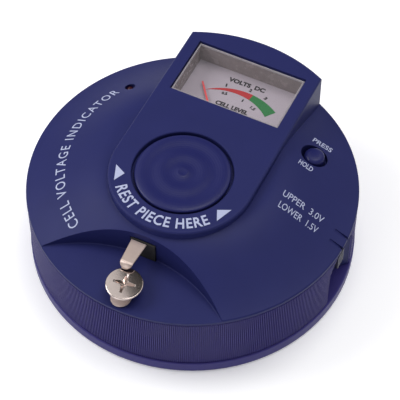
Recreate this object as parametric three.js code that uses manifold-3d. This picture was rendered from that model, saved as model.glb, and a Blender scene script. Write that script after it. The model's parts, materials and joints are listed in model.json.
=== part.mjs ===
// A round bench tester for watches and button cells: a domed case with a raised tongue that holds a
// moving-coil meter and a watch pad, a crescent recess with two cell contacts, a test button and a
// slide switch.
// Units are millimetres. +Z is up, +Y points to the meter end, and the origin is the centre of the
// underside.
import * as THREE from 'three';
import { mergeVertices } from 'three/addons/utils/BufferGeometryUtils.js';
import Module from 'manifold-3d';

const wasm = await Module();
wasm.setup();

// ---- driving dimensions ----
const seatGap = 0.3; // between pieces that touch
const slideGap = 0.25; // between pieces that move on each other

// heights stack up from the underside: floor, battery, circuit board, rim, crown, tongue
const baseFloor = 2;
const batteryLift = 0.1; // the battery lies this far above the floor
const batteryHeight = 17.5;
const boardRoom = 2.4; // between the battery and the circuit board
const boardThickness = 1.6;
const rimRise = 5.4; // from the board to the rim
const crownRise = 11.1; // from the rim to the crown
const tongueStand = 2.7; // from the crown to the tongue

const caseRadius = 55;
const caseWall = 2;
const ribDepth = 0.5; // the ribbed band lies this far inside the rim
const rimBand = 1;
const crownRadius = 27.5; // where the dome becomes flat
const shoulderReach = 12.4; // these three shape the dome's curve
const shoulderLift = 4.3;
const crownReach = 6.5;
const edgeRound = 0.6;

const baseProud = 0.3; // the base ring stands out from the case
const baseHeight = 4.8;
const lipWall = 1.6;
const lipHeight = 3.2;

const windowFrame = 4.7; // from the window to the tongue's side
const tongueSetback = 0.5; // its rear edge lies this far inside the rim
const tongueSkin = 2.2;

const padY = -7.1;
const padRadius = 15.6;
const padRing = 1; // width of the groove around the pad
const padPocket = 2.2; // depth of the pocket that it sits in
const padFloor = 1.8;

const windowHalfWidth = 19.5;
const windowDepth = 22.5;
const windowSunk = 0.5; // the cover lies this far below the tongue
const coverWall = 1.2;
const dialDepth = 8.8; // from the tongue down to the dial
const meterFlange = 1.5; // the meter's body is wider than its window by this much a side
const meterBack = 1.7; // from the window to the back of the meter
const cornerRoom = 0.55; // between the meter's rear corners and the tongue's skin
const meterSunk = 2; // the meter hangs this far below the board
const pivotSetback = 5.9; // the pointer turns this far in front of the window
const movementRoom = 7.8; // from its axis to the front of the meter
const pointerLength = 23.2;
const pointerRest = 36.9; // degrees left of the middle

const recessRadius = 50; // the crescent is cut by a cylinder of this radius
const recessY = -82.6;
const recessStep = 0.5; // its floor lies this far below the rim

const scoopY = -0.35;
const scoopHalfWidth = 9.2;
const scoopDepth = 5;
const scoopArch = 10.2; // from the springing of its arch to the top
const scoopLintel = 0.8; // from its top to the rim
const indexPitch = 4.3; // the two marks of the slide switch, and its travel
const indexLength = 5;
const indexWidth = 0.8;

const buttonX = 33.3;
const buttonY = 23.1;
const buttonWell = 4.5; // radius of the well in the case
const buttonRadius = 3.45;
const buttonSunk = 5.57; // from the dome down to the lip that holds the button in
const buttonHeight = 6.5; // from that lip to the button's top
const flangeRadius = 4.2;
const flangeHeight = 1.2;

const lampX = -35.2;
const lampY = 23.2;
const lampRadius = 1.5;
const lampSunk = 0.65; // its tip lies this far below the dome

const batteryLength = 48.5;
const batteryWidth = 26.5;
const batteryY = -13.5;
const bayWall = 1.5;
const bayPlay = 0.5;
const snapRoom = 8;
const tabSwing = 2.5; // what the door's tabs sweep through as it swings out

const headRadius = 6;
const headThickness = 1.2;
const headRise = 5.1; // from the recess floor to the top of the screw head
const headY = -48.1;
const shankRadius = 2;
const spacerRadius = 3.2;
const stripThickness = 0.5;
const stripHalf = 3.25;
const stripEnd = -54.2;
const stripBack = -42.4;

const armX = -2.3;
const armRise = 2.4; // from the screw head to the top of the arm
const armThickness = 0.5;
const armWide = 5.5;
const armNarrow = 4.4;
const armLength = 8.5; // from its root to the bend of its nose
const noseLength = 2.1;
const noseDrop = 1.3;
const legX = -1.2;
const legWidth = 8.6;

const postInset = 8.5; // from the case's side to the screw posts
const frontPostAngles = [218, 322];
const postRadius = 3.5;
const postToMeter = 5.7; // from the meter's side to the rear posts
const screwRadius = 1.25;

// ---- places worked out from the driving dimensions ----
const boardBottom = baseFloor + batteryLift + batteryHeight + boardRoom;
const boardTop = boardBottom + boardThickness;
const rimHeight = boardTop + rimRise;
const crownHeight = rimHeight + crownRise;
const tongueTop = crownHeight + tongueStand;
const baseRadius = caseRadius + baseProud;
const innerRadius = caseRadius - caseWall;
const tongueHalfWidth = windowHalfWidth + windowFrame;
const tongueRear = caseRadius - tongueSetback; // about the case axis
const seam = baseHeight + seatGap;

const meterHalfWidth = windowHalfWidth + meterFlange;
const meterWing = meterHalfWidth + 2; // the board leaves this much free for it
const meterCorner = tongueRear - tongueSkin - cornerRoom; // radius of its rear corners
const meterFar = Math.sqrt(meterCorner ** 2 - meterHalfWidth ** 2);
const windowFar = meterFar - meterBack;
const windowNear = windowFar - windowDepth;
const pointerY = windowNear - pivotSetback;
const meterNear = pointerY - movementRoom;
const meterBottom = boardBottom - meterSunk;
const meterLid = tongueTop - padPocket - padFloor - seatGap;
const dialTop = tongueTop - dialDepth;
const coverTop = tongueTop - windowSunk;

const recessFloor = rimHeight - recessStep;
const recessEdge = recessY + recessRadius; // the deepest point of the crescent wall
const headTop = recessFloor + headRise;
const headUnder = headTop - headThickness;
const armTop = headTop + armRise;
const armUnder = armTop - armThickness;
const legFront = recessEdge - 0.6;
const legBack = legFront + armThickness;

const scoopTop = rimHeight - scoopLintel;
const scoopShoulder = scoopTop - scoopArch;
const scoopBack = caseRadius - scoopDepth;
const knobRest = scoopY - indexPitch / 2;
const knobBottom = scoopShoulder + 1.8;
const knobTop = scoopTop - 1.9;
const leverZ = boardTop + 2;
const leverHalf = 1;
const leverHalfWidth = 1.5;
const leverSlot = indexPitch / 2 + leverHalfWidth + seatGap; // half the length of the slot it slides in

const postRing = caseRadius - postInset;
const rearPostX = meterHalfWidth + postToMeter;
const rearPostY = Math.sqrt(postRing ** 2 - rearPostX ** 2);
const rearPosts = [[rearPostX, rearPostY], [-rearPostX, rearPostY]];
const posts = [...rearPosts, ...frontPostAngles.map((angle) => polar(postRing, angle))];
const postFoot = baseFloor + 6.3;
const boardPosts = [[-30, -19], [30, -19], [-41, 6]];

const bayLength = batteryLength + 2 * bayPlay + snapRoom;
const bayWidth = batteryWidth + 2 * bayPlay;
const bayEnd = -bayLength / 2 + 1.5;
const bayFar = bayEnd + bayLength;
const bayFront = batteryY - bayWidth / 2;
const bayBack = batteryY + bayWidth / 2;
const bayHeight = 14;
const doorLedge = 0.6;
const doorThickness = 1.6;
const doorBottom = 0.2;

// ---- solids ----
const object = new THREE.Group();

function solid(geometry) {
  geometry.deleteAttribute('normal');
  geometry.deleteAttribute('uv');
  const merged = mergeVertices(geometry, 1e-4);
  const index = merged.index.array;
  const kept = [];
  for (let i = 0; i < index.length; i += 3) {
    const [a, b, c] = index.slice(i, i + 3);
    if (a !== b && b !== c && c !== a) kept.push(a, b, c);
  }
  return new wasm.Manifold(new wasm.Mesh({
    numProp: 3,
    vertProperties: new Float32Array(merged.attributes.position.array),
    triVerts: new Uint32Array(kept),
  }));
}

function add(name, body, color, roughness = 0.5, metalness = 0) {
  const mesh = body.getMesh();
  const geometry = new THREE.BufferGeometry();
  geometry.setAttribute('position', new THREE.BufferAttribute(new Float32Array(mesh.vertProperties), 3));
  geometry.setIndex(new THREE.BufferAttribute(new Uint32Array(mesh.triVerts), 1));
  geometry.computeVertexNormals();
  const piece = new THREE.Mesh(geometry, new THREE.MeshStandardMaterial({ color, roughness, metalness }));
  piece.name = name;
  object.add(piece);
  return piece;
}

function block(x0, x1, y0, y1, z0, z1) {
  const geometry = new THREE.BoxGeometry(x1 - x0, y1 - y0, z1 - z0);
  return solid(geometry.translate((x0 + x1) / 2, (y0 + y1) / 2, (z0 + z1) / 2));
}

function rod(radius, x, y, z0, z1, sides = 24) {
  const geometry = new THREE.CylinderGeometry(radius, radius, z1 - z0, sides);
  return solid(geometry.rotateX(Math.PI / 2).translate(x, y, (z0 + z1) / 2));
}

// profile: [radius, height] pairs from the axis round to the axis, counted anticlockwise
function turned(profile, sides = 24, x = 0, y = 0) {
  const points = profile.map(([r, z]) => new THREE.Vector2(r, z));
  const geometry = new THREE.LatheGeometry(points, sides);
  return solid(geometry.rotateX(Math.PI / 2).translate(x, y, 0));
}

function prism(shape, z0, z1, curveSegments = 24) {
  const geometry = new THREE.ExtrudeGeometry(shape, { depth: z1 - z0, bevelEnabled: false, curveSegments });
  return solid(geometry.translate(0, 0, z0));
}

function outline(points) {
  return new THREE.Shape(points.map(([x, y]) => new THREE.Vector2(x, y)));
}

// a shape drawn in Y and Z, pushed along X
function sidePrism(shape, x0, x1, curveSegments = 24) {
  const geometry = new THREE.ExtrudeGeometry(shape, { depth: x1 - x0, bevelEnabled: false, curveSegments });
  return solid(geometry.rotateX(Math.PI / 2).rotateZ(Math.PI / 2).translate(x0, 0, 0));
}

function wire(points, radius) {
  const path = new THREE.CatmullRomCurve3(points.map(([x, y, z]) => new THREE.Vector3(x, y, z)));
  const section = new THREE.Shape();
  section.absarc(0, 0, radius, 0, Math.PI * 2);
  const steps = Math.min(80, Math.ceil(path.getLength() / (5 * radius)));
  const geometry = new THREE.ExtrudeGeometry(section, { steps, extrudePath: path, curveSegments: 8 });
  return solid(geometry);
}

function join(...bodies) {
  return bodies.reduce((a, b) => a.add(b));
}

function polar(radius, degrees) {
  const angle = THREE.MathUtils.degToRad(degrees);
  return [radius * Math.cos(angle), radius * Math.sin(angle)];
}

// ---- shared shapes ----
// the dome's section from the rim to the crown, moved inwards by a wall thickness
function domeSection(inset, steps) {
  const curve = new THREE.CubicBezierCurve(
    new THREE.Vector2(caseRadius - edgeRound, rimHeight),
    new THREE.Vector2(caseRadius - shoulderReach, rimHeight + shoulderLift),
    new THREE.Vector2(crownRadius + crownReach, crownHeight),
    new THREE.Vector2(crownRadius, crownHeight),
  );
  return curve.getPoints(steps).map((point, i) => {
    const tangent = curve.getTangent(i / steps);
    return [point.x + tangent.y * -inset, point.y + tangent.x * inset];
  });
}

// height of the dome above a point
function domeHeight(x, y) {
  const r = Math.hypot(x, y);
  const points = domeSection(0, 60);
  const i = points.findIndex(([radius]) => radius <= r);
  const [r0, z0] = points[i - 1];
  const [r1, z1] = points[i];
  return z0 + ((z1 - z0) * (r0 - r)) / (r0 - r1);
}

const buttonLip = domeHeight(buttonX, buttonY) - buttonSunk;
const buttonTop = buttonLip + buttonHeight;

function tongueOutline(inset) {
  const half = tongueHalfWidth - inset;
  const rear = tongueRear - inset;
  const corner = Math.asin(half / rear);
  const shape = new THREE.Shape();
  shape.absarc(0, padY, half, Math.PI, 2 * Math.PI);
  shape.absarc(0, 0, rear, Math.PI / 2 - corner, Math.PI / 2 + corner);
  return shape;
}

function recessBody(grow) {
  const z0 = recessFloor - grow;
  return rod(recessRadius + grow, 0, recessY, z0, tongueTop + 5, 120);
}

// a hollow for a fingertip, cut into the side wall by an upright cylinder under an arch
function scoopBody(grow, bottom) {
  const chord = Math.sqrt(caseRadius ** 2 - scoopHalfWidth ** 2);
  const sagitta = scoopDepth - (caseRadius - chord);
  const radius = (scoopHalfWidth ** 2 + sagitta ** 2) / (2 * sagitta);
  const centre = chord - sagitta + radius;
  const arch = new THREE.Shape();
  const half = scoopHalfWidth + grow;
  arch.moveTo(scoopY - half, bottom);
  arch.lineTo(scoopY + half, bottom);
  arch.lineTo(scoopY + half, scoopShoulder);
  arch.absellipse(scoopY, scoopShoulder, half, scoopTop + grow - scoopShoulder, 0, Math.PI, false);
  const reach = sidePrism(arch, caseRadius - scoopDepth - grow - 1, caseRadius + 5, 16);
  return rod(radius + grow, centre, scoopY, bottom, scoopTop + grow + 1, 64).intersect(reach);
}

// two crossed slots cut down to z0
function cross(x, y, reach, halfWidth, z0, z1) {
  return join(
    block(x - reach, x + reach, y - halfWidth, y + halfWidth, z0, z1),
    block(x - halfWidth, x + halfWidth, y - reach, y + reach, z0, z1),
  );
}

// a screw driven upwards: its head is below and its tip above
function upScrew(x, y, seat, tip, headHeight, headRound) {
  const shank = rod(screwRadius, x, y, seat, tip, 12);
  const head = rod(headRound, x, y, seat - headHeight, seat, 20);
  const recess = cross(x, y, headRound * 0.62, 0.4, seat - headHeight - 1, seat - headHeight / 2);
  return shank.add(head).subtract(recess);
}

// a shape drawn in X and Z, pushed along Y
function frontPrism(shape, y0, y1) {
  const geometry = new THREE.ExtrudeGeometry(shape, { depth: y1 - y0, bevelEnabled: false });
  return solid(geometry.rotateX(Math.PI / 2).translate(0, y1, 0));
}

// ---- upper case ----
function domeSolid() {
  return turned([
    [0, seam],
    [caseRadius - ribDepth, seam],
    [caseRadius - ribDepth, rimHeight - edgeRound - rimBand - ribDepth],
    [caseRadius, rimHeight - edgeRound - rimBand],
    [caseRadius, rimHeight - edgeRound],
    ...domeSection(0, 8),
    [0, crownHeight],
  ], 96);
}

function cavity() {
  const dome = turned([
    [0, seam - 5],
    [innerRadius, seam - 5],
    [innerRadius, rimHeight - edgeRound - caseWall],
    ...domeSection(caseWall, 4).slice(1),
    [0, crownHeight - caseWall],
  ], 48);
  const tongue = prism(tongueOutline(tongueSkin), seam + 5, tongueTop - tongueSkin, 16);
  const padBoss = rod(padRadius + padRing + 1.5, 0, padY, tongueTop - padPocket - padFloor, tongueTop, 48);
  return dome.add(tongue).subtract(join(recessBody(caseWall), scoopBody(caseWall, seam - 6), padBoss));
}

function topCase() {
  const outer = domeSolid().add(prism(tongueOutline(0), rimHeight - edgeRound - rimBand / 2, tongueTop, 20));
  const bosses = join(
    ...posts.map(([x, y]) => rod(postRadius, x, y, postFoot, tongueTop, 20)),
    ...boardPosts.map(([x, y]) => rod(3, x, y, boardTop, tongueTop, 16)),
    rod(buttonWell + 1.3, buttonX, buttonY, buttonLip, tongueTop, 32),
    rod(5, 0, headY, recessFloor - 6, recessFloor, 32),
  ).intersect(outer);
  const cuts = [
    recessBody(0),
    scoopBody(0, seam - 1),
    rod(padRadius + padRing, 0, padY, tongueTop - padPocket, tongueTop + 1, 72),
    block(-windowHalfWidth - seatGap, windowHalfWidth + seatGap, windowNear - seatGap, windowFar + seatGap,
      meterLid - 2, tongueTop + 1),
    rod(buttonWell, buttonX, buttonY, buttonLip + 1.2, tongueTop, 40),
    rod(flangeRadius + slideGap, buttonX, buttonY, boardTop, buttonLip, 32),
    rod(buttonRadius + slideGap, buttonX, buttonY, buttonLip - 1, tongueTop, 32),
    rod(lampRadius + seatGap, lampX, lampY, boardTop, tongueTop, 24),
    rod(shankRadius + slideGap, 0, headY, boardTop - 4, rimHeight, 20),
    block(-stripHalf - seatGap, stripHalf + seatGap, stripBack - seatGap,
      stripBack + stripThickness + seatGap, recessFloor - 3, recessFloor + 1),
    block(legX - legWidth / 2 - seatGap, legX + legWidth / 2 + seatGap, legFront - seatGap,
      legBack + seatGap, recessFloor - 3, armTop + 1),
    block(scoopBack - 4, caseRadius, scoopY - leverSlot, scoopY + leverSlot, leverZ - leverHalf - seatGap,
      leverZ + leverHalf + seatGap),
    ...posts.map(([x, y]) => rod(screwRadius + 0.1, x, y, postFoot - 1, postFoot + 12, 12)),
    ...boardPosts.map(([x, y]) => rod(screwRadius + 0.1, x, y, boardTop - 1, boardTop + 7, 12)),
    ...[-1, 1].map((side) => indexGroove(scoopY + (side * indexPitch) / 2)),
  ];
  return outer.subtract(cavity()).add(bosses).subtract(join(...cuts));
}

// a mark that runs out over the rim
function indexGroove(y) {
  const start = caseRadius - indexLength;
  const shape = outline([
    [start, rimHeight + 2.6],
    [start + 0.3, rimHeight + 1.3],
    [caseRadius - 0.8, rimHeight - 0.6],
    [caseRadius - 0.8, rimHeight - 5],
    [caseRadius + 2, rimHeight - 5],
    [caseRadius + 2, rimHeight + 4],
    [start, rimHeight + 4],
  ]);
  return frontPrism(shape, y - indexWidth / 2, y + indexWidth / 2);
}

add('top_case', topCase(), 0x2b2b5c, 0.45);

// ---- lower case ----
const doorX0 = bayEnd - doorLedge;
const doorX1 = bayFar + doorLedge;
const doorY0 = bayFront - doorLedge;
const doorY1 = bayBack + doorLedge;
const tabReach = 3;
const tabPlate = 1;
const tabHalf = 2.5;
const tabOffset = 6.5; // from the battery's middle to each tab

function tabSlot(y) {
  const half = tabHalf + seatGap;
  return block(bayEnd - tabReach - seatGap, bayEnd + 1, y - half, y + half, baseFloor, baseFloor + 2.4);
}

function baseCase() {
  const ring = turned([
    [0, 0],
    [baseRadius - edgeRound, 0],
    [baseRadius, edgeRound],
    [baseRadius, baseHeight - 0.3],
    [baseRadius - 0.3, baseHeight],
    [innerRadius - 3, baseHeight],
    [innerRadius - 3, baseFloor],
    [0, baseFloor],
  ], 96);
  const lipOuter = innerRadius - slideGap;
  const lipInner = lipOuter - lipWall;
  const scoopRoom = scoopBody(caseWall + seatGap, 0);
  const lip = turned([
    [lipInner, baseHeight - 1],
    [lipOuter, baseHeight - 1],
    [lipOuter, baseHeight + lipHeight],
    [lipInner, baseHeight + lipHeight],
    [lipInner, baseHeight - 1],
  ], 48).subtract(scoopRoom.add(scoopRoom.translate([scoopDepth, 0, 0])));
  const scoopSill = rod(caseRadius - 1, 0, 0, 1, baseHeight, 72).intersect(scoopBody(caseWall, 0));
  const wall = block(bayEnd - bayWall, bayFar + bayWall, bayFront - bayWall, bayBack + bayWall, 1,
    bayHeight).subtract(block(bayEnd, bayFar, bayFront, bayBack, 0, bayHeight + 1));
  const sockets = posts.map(([x, y]) => rod(postRadius + 1, x, y, 1, postFoot - seatGap, 20));
  const cuts = [
    block(doorX0 - seatGap, doorX1 + seatGap, doorY0 - seatGap, doorY1 + seatGap, -1,
      doorBottom + doorThickness + 0.2),
    block(bayEnd, bayFar, bayFront, bayBack, -1, bayHeight + 1),
    ...[-tabOffset, tabOffset].map((offset) => tabSlot(batteryY + offset)),
    ...posts.map(([x, y]) => rod(screwRadius + slideGap, x, y, -1, postFoot + 1, 16)),
    ...posts.map(([x, y]) => rod(3, x, y, -1, postFoot - 2.3, 20)),
  ];
  return join(ring, lip, scoopSill, wall, ...sockets).subtract(join(...cuts));
}

function batteryDoor() {
  const top = doorBottom + doorThickness;
  const grip = 6;
  const inner = bayEnd + bayPlay;
  const tabTop = baseFloor + 1.5;
  const tab = (y) => join(
    block(doorX0 - tabReach + 1, inner + tabPlate, y - tabHalf, y + tabHalf, baseFloor + seatGap, tabTop),
    block(inner, inner + tabPlate, y - tabHalf, y + tabHalf, doorBottom, tabTop),
  );
  const ribs = [-6, 0, 6].map((offset) => {
    const x = bayFar - 6 + offset / 3;
    return block(x - 0.4, x + 0.4, batteryY - grip, batteryY + grip, doorBottom - 0.2, doorBottom + 0.1);
  });
  return join(
    block(doorX0, doorX1, doorY0, doorY1, doorBottom, top),
    tab(batteryY - tabOffset),
    tab(batteryY + tabOffset),
    block(bayFar - 2.4, bayFar - 1.1, batteryY - 4, batteryY + 4, doorBottom, bayHeight - 5),
    ...ribs,
  );
}

add('base_case', baseCase(), 0x2d2c5e, 0.5);
add('battery_door', batteryDoor(), 0x2b2b5c, 0.5);
posts.forEach(([x, y], i) => {
  const seat = postFoot - 2.3;
  add(`case_screw_${i + 1}`, upScrew(x, y, seat, postFoot + 9, 1.8, 2.6), 0xb8b8bc, 0.3, 1);
});

// ---- watch pad, test button, lamp ----
function watchPad() {
  const top = tongueTop + 0.15;
  const bottom = tongueTop - padPocket;
  return turned([
    [0, bottom],
    [padRadius - 0.4, bottom],
    [padRadius, bottom + 0.4],
    [padRadius, top - 0.7],
    [padRadius - 0.5, top - 0.15],
    [padRadius - 1.5, top],
    [padRadius - 4, top - 0.1],
    [padRadius * 0.5, top - 0.5],
    [0, top - 0.6],
  ], 48, 0, padY);
}

function testButton() {
  const flangeTop = buttonLip - seatGap;
  return turned([
    [0, flangeTop - flangeHeight],
    [flangeRadius, flangeTop - flangeHeight],
    [flangeRadius, flangeTop],
    [buttonRadius, flangeTop],
    [buttonRadius, buttonTop - 1.1],
    [buttonRadius * 0.88, buttonTop - 0.5],
    [buttonRadius * 0.55, buttonTop - 0.12],
    [0, buttonTop],
  ], 28, buttonX, buttonY);
}

const plungerTop = buttonLip - seatGap - flangeHeight - 0.05;
const plungerRadius = 1.7;
const switchHeight = 3.6;
const switchHalf = 3;
const lampTop = domeHeight(lampX, lampY) - lampSunk;
const lampSeat = boardTop + 4.7;

function pushSwitch() {
  return block(buttonX - switchHalf, buttonX + switchHalf, buttonY - switchHalf, buttonY + switchHalf,
    boardTop, boardTop + switchHeight)
    .subtract(rod(plungerRadius + slideGap, buttonX, buttonY, boardTop + 0.6, boardTop + 5, 16));
}

function lamp() {
  const leg = (x) => block(x - 0.25, x + 0.25, lampY - 0.25, lampY + 0.25, boardTop + 0.1, lampSeat + 0.2);
  return join(
    turned([
      [0, lampSeat],
      [lampRadius + 0.4, lampSeat],
      [lampRadius + 0.4, lampSeat + 1],
      [lampRadius, lampSeat + 1],
      [lampRadius, lampTop - lampRadius],
      [lampRadius * 0.71, lampTop - lampRadius * 0.29],
      [0, lampTop],
    ], 20, lampX, lampY),
    leg(lampX - 0.9),
    leg(lampX + 0.9),
  );
}

add('watch_pad', watchPad(), 0x2a2a58, 0.35);
add('test_button', testButton(), 0x232352, 0.35);
add('switch_plunger', rod(plungerRadius, buttonX, buttonY, boardTop + 1.6, plungerTop, 16), 0x222222, 0.5);
add('push_switch', pushSwitch(), 0x333338, 0.4, 0.4);
add('lamp', lamp(), 0x301018, 0.15);
add('lamp_spacer', rod(2.3, lampX, lampY, boardTop, lampSeat - 0.1, 20)
  .subtract(rod(1.6, lampX, lampY, boardTop - 1, lampSeat + 1, 16)), 0xd8d8d0, 0.6);

// ---- slide switch ----
const knobFace = caseRadius - 0.2;
const knobHalf = 2.2;
const bodyX0 = scoopBack - 9.6;
const bodyX1 = scoopBack - caseWall - 1.6;

function switchKnob() {
  const grips = [-1.2, 0, 1.2].map((offset) => {
    const y = knobRest + offset;
    return block(knobFace - 0.35, knobFace + 1, y - 0.25, y + 0.25, knobBottom - 1, knobTop + 1);
  });
  return join(
    block(scoopBack + 1.4, knobFace, knobRest - knobHalf, knobRest + knobHalf, knobBottom, knobTop),
    block(bodyX1 - 1.2, scoopBack + 2, knobRest - leverHalfWidth, knobRest + leverHalfWidth,
      leverZ - leverHalf, leverZ + leverHalf),
  ).subtract(join(...grips));
}

function slideSwitch() {
  const slotHalf = indexPitch / 2 + leverHalfWidth + slideGap;
  return block(bodyX0, bodyX1, scoopY - 6.5, scoopY + 6.5, boardTop, leverZ + leverHalf + 1.2)
    .subtract(block(bodyX1 - 1.2 - slideGap, bodyX1 + 1, scoopY - slotHalf, scoopY + slotHalf,
      leverZ - leverHalf - slideGap, leverZ + leverHalf + slideGap));
}

add('switch_knob', switchKnob(), 0x1c1c3e, 0.5);
add('slide_switch', slideSwitch(), 0xb0b0b4, 0.35, 0.9);

// ---- cell contacts ----
const stripTop = recessFloor + 0.9;

function contactArm() {
  const bend = legFront - armLength;
  const tip = bend - noseLength;
  const wide = armWide / 2;
  const narrow = armNarrow / 2;
  const plan = new THREE.Shape();
  plan.moveTo(armX + wide, legFront - seatGap);
  plan.lineTo(armX - wide, legFront - seatGap);
  plan.lineTo(armX - narrow, bend);
  plan.absellipse(armX, bend, narrow, noseLength, Math.PI, 2 * Math.PI, false);
  const side = outline([
    [legFront, armTop],
    [bend, armTop],
    [tip - 0.1, armTop - noseDrop],
    [tip - 0.1, armUnder - noseDrop],
    [bend - 0.1, armUnder],
    [legFront, armUnder],
  ]);
  return prism(plan, armTop - 5, armTop + 1, 12).intersect(sidePrism(side, armX - 5, armX + 5));
}

function contactPost() {
  const foot = 2;
  return join(
    block(legX - legWidth / 2, legX + legWidth / 2, legFront, legBack, boardTop + seatGap, armTop),
    block(legX - foot, legX + foot, legFront, -21, boardTop + seatGap, boardTop + seatGap + armThickness),
  );
}

function contactStrip() {
  const plan = new THREE.Shape();
  plan.moveTo(stripHalf, stripBack);
  plan.lineTo(-stripHalf, stripBack);
  plan.absarc(0, stripEnd + stripHalf, stripHalf, Math.PI, 2 * Math.PI, false);
  const leaf = prism(plan, stripTop - stripThickness, stripTop, 12);
  const leg = block(-stripHalf, stripHalf, stripBack, stripBack + stripThickness, boardBottom + 1, stripTop);
  return leaf.add(leg).subtract(rod(shankRadius + slideGap, 0, headY, recessFloor - 1, rimHeight + 3, 20));
}

function contactScrew() {
  const bodyOfScrew = turned([
    [0, boardTop - 5],
    [shankRadius - 0.4, boardTop - 5],
    [shankRadius, boardTop - 4.6],
    [shankRadius, headUnder],
    [headRadius - 1.5, headUnder],
    [headRadius, headTop - 0.75],
    [headRadius, headTop - 0.4],
    [headRadius - 0.35, headTop - 0.1],
    [headRadius * 0.7, headTop + 0.1],
    [headRadius * 0.35, headTop + 0.2],
    [0, headTop + 0.22],
  ], 32, 0, headY);
  return bodyOfScrew.subtract(cross(0, headY, 3.7, 0.42, headTop - 0.75, headTop + 2));
}

add('contact_arm', contactArm(), 0xbcb4ae, 0.25, 1);
add('contact_arm_foot', contactPost(), 0xbcb4ae, 0.25, 1);
add('contact_strip', contactStrip(), 0xbcb4ae, 0.25, 1);
add('contact_screw', contactScrew(), 0xc4bbb4, 0.2, 1);
add('contact_spacer', rod(spacerRadius, 0, headY, stripTop, headUnder, 24)
  .subtract(rod(shankRadius + slideGap, 0, headY, rimHeight - 2, rimHeight + 6, 20)), 0xc4bbb4, 0.3, 1);
add('contact_nut', rod(4, 0, headY, recessFloor - 9, recessFloor - 6, 6)
  .subtract(rod(shankRadius + 0.1, 0, headY, recessFloor - 10, recessFloor - 5, 20)), 0xb0aaa4, 0.3, 1);

// ---- meter ----
const coreRadius = 4;
const coilTurnRadius = 5.6;
const yokeInner = 6.6;
const yokeOuter = 9;
const terminalX = 9;
const terminalY = meterFar - 9.3;
const movementFloor = meterBottom + coverWall + 1.8;
const coilBottom = movementFloor + 0.4;
const coilTop = dialTop - 2.8;

function meterCover() {
  const lower = (inset, z0, z1) => block(-meterHalfWidth + inset, meterHalfWidth - inset,
    meterNear + inset, meterFar - inset, z0, z1);
  const upper = (inset, z0, z1) => block(-windowHalfWidth + inset, windowHalfWidth - inset,
    windowNear + inset, windowFar - inset, z0, z1);
  const floor = dialTop - 2;
  const inside = lower(coverWall, floor - 1, meterLid - coverWall)
    .add(upper(coverWall, floor - 1, coverTop - coverWall));
  return lower(0, floor, meterLid).add(upper(0, floor, coverTop)).subtract(inside);
}

function meterBase() {
  const top = dialTop - 2;
  const shell = block(-meterHalfWidth, meterHalfWidth, meterNear, meterFar, meterBottom, top)
    .subtract(block(-meterHalfWidth + coverWall, meterHalfWidth - coverWall, meterNear + coverWall,
      meterFar - coverWall, meterBottom + coverWall, top + 1));
  const stand = rod(yokeOuter, 0, pointerY, meterBottom + 0.5, movementFloor, 32)
    .subtract(rod(yokeInner, 0, pointerY, meterBottom + coverWall, movementFloor + 1, 32));
  const stepRod = rod(1.2, 0, pointerY, meterBottom + 0.5, coilBottom - 0.2, 12);
  const props = [-1, 1].map((side) => rod(1.6, side * 16, terminalY + 2, meterBottom + 0.5,
    dialTop - 0.5, 12));
  const holes = [-1, 1].map((side) => rod(1.2, side * terminalX, terminalY, meterBottom - 1,
    meterBottom + 3, 12));
  return join(shell, stand, stepRod, ...props).subtract(join(...holes));
}

function magnetCore() {
  const z0 = coilBottom + 1.2;
  const z1 = coilTop - 1.2;
  const bar = block(-1, 1, pointerY - yokeInner + 0.1, pointerY + yokeInner - 0.1, z0 + 1.5, z1 - 1.5);
  return rod(coreRadius, 0, pointerY, z0, z1, 28).add(bar);
}

function yokeRing() {
  return rod(yokeOuter, 0, pointerY, movementFloor, coilTop + 0.2, 40)
    .subtract(rod(yokeInner, 0, pointerY, movementFloor - 1, coilTop + 2, 40))
    .intersect(block(-yokeOuter, yokeOuter, meterNear + coverWall + 0.1, pointerY + yokeOuter, 0, 50));
}

function turnedToRest(body) {
  return body.translate([0, -pointerY, 0]).rotate([0, 0, pointerRest]).translate([0, pointerY, 0]);
}

function movingCoil() {
  const half = 1.4;
  const outer = coilTurnRadius;
  const inner = outer - 1;
  const frame = block(-outer, outer, pointerY - half, pointerY + half, coilBottom, coilTop);
  const space = block(-inner, inner, pointerY - 3, pointerY + 3, coilBottom + 0.9, coilTop - 0.9);
  return turnedToRest(frame.subtract(space));
}

function pointer() {
  const z0 = dialTop + 1;
  const tail = 3.4;
  const needle = outline([
    [-0.45, pointerY - tail],
    [0.45, pointerY - tail],
    [0.45, pointerY],
    [0.28, pointerY + pointerLength],
    [-0.28, pointerY + pointerLength],
    [-0.45, pointerY],
  ]);
  return turnedToRest(join(
    prism(needle, z0, z0 + 0.4),
    rod(1.3, 0, pointerY, z0 - 0.2, z0 + 0.8, 16),
    rod(0.5, 0, pointerY, coilTop, z0, 12),
  ));
}

function meterDial() {
  const half = meterHalfWidth - coverWall - 0.2;
  const far = meterFar - coverWall - 0.2;
  return block(-half, half, windowNear - 1.8, far, dialTop - 0.5, dialTop);
}

function bridge() {
  const z0 = coilTop + 0.8;
  const leg = yokeInner + 1.4;
  return join(
    block(-leg - 1, leg + 1, pointerY - 1.8, pointerY + 1.8, z0, z0 + 0.9),
    block(-leg - 1, -leg + 1, pointerY - 1.8, pointerY + 1.8, coilTop + 0.2, z0 + 0.5),
    block(leg - 1, leg + 1, pointerY - 1.8, pointerY + 1.8, coilTop + 0.2, z0 + 0.5),
  ).subtract(rod(0.5 + slideGap, 0, pointerY, z0 - 1, z0 + 2, 12));
}

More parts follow.
